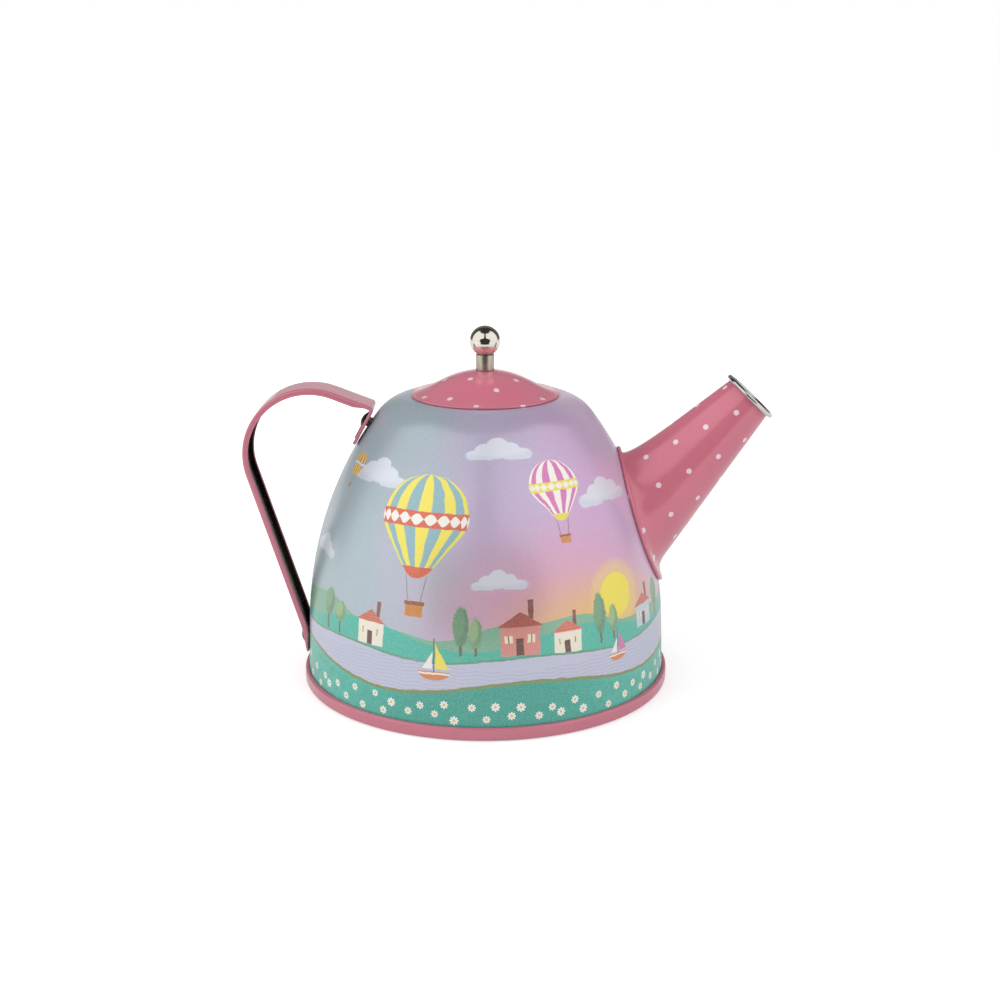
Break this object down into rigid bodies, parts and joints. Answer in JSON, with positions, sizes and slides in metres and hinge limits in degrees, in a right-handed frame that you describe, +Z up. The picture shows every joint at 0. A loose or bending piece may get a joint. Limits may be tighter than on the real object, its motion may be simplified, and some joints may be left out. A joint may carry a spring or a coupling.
{
  "type": "toy teapot",
  "caption": "Child's round tin teapot with a tapered spout, a strap handle riveted to shoulder and wall, and a lift-off lid with a ball knob.",
  "frame": {"origin": "on the body's axis at the plane of the foot rim that the teapot rests on", "axes": "+X from the body's axis towards the spout, +Y to the side, +Z up along the body's axis"},
  "size_m": [0.1557, 0.11, 0.1062],
  "materials": {
    "printed_tin": null,
    "pink_lacquer": "gloss rose pink lacquer on tinplate",
    "spotted_lacquer": "gloss rose pink lacquer with small pale spots on tinplate",
    "bright_wire": "satin nickel plate",
    "dark_steel": "dull dark steel",
    "bare_tin": "bare tinplate, slightly dull",
    "bright_ball": "mirror chrome plate"
  },
  "bodies": {
    "teapot": {"body_shell": "printed_tin", "base_plate": "pink_lacquer", "spout_shell": "spotted_lacquer", "spout_ring": "bright_wire", "handle_strap": "pink_lacquer", "handle_rivet_upper": "dark_steel", "handle_rivet_lower": "dark_steel"},
    "lid": {"lid_shell": "spotted_lacquer", "lid_collar": "bare_tin", "knob_ball": "bright_ball", "knob_ferrule": "bright_wire", "knob_screw": "dark_steel"}
  },
  "joints": [
    {"name": "lid_lift", "type": "slide", "parent": "teapot", "child": "lid", "axis": [0, 0, 1], "range_m": [0, 0.05]}
  ]
}
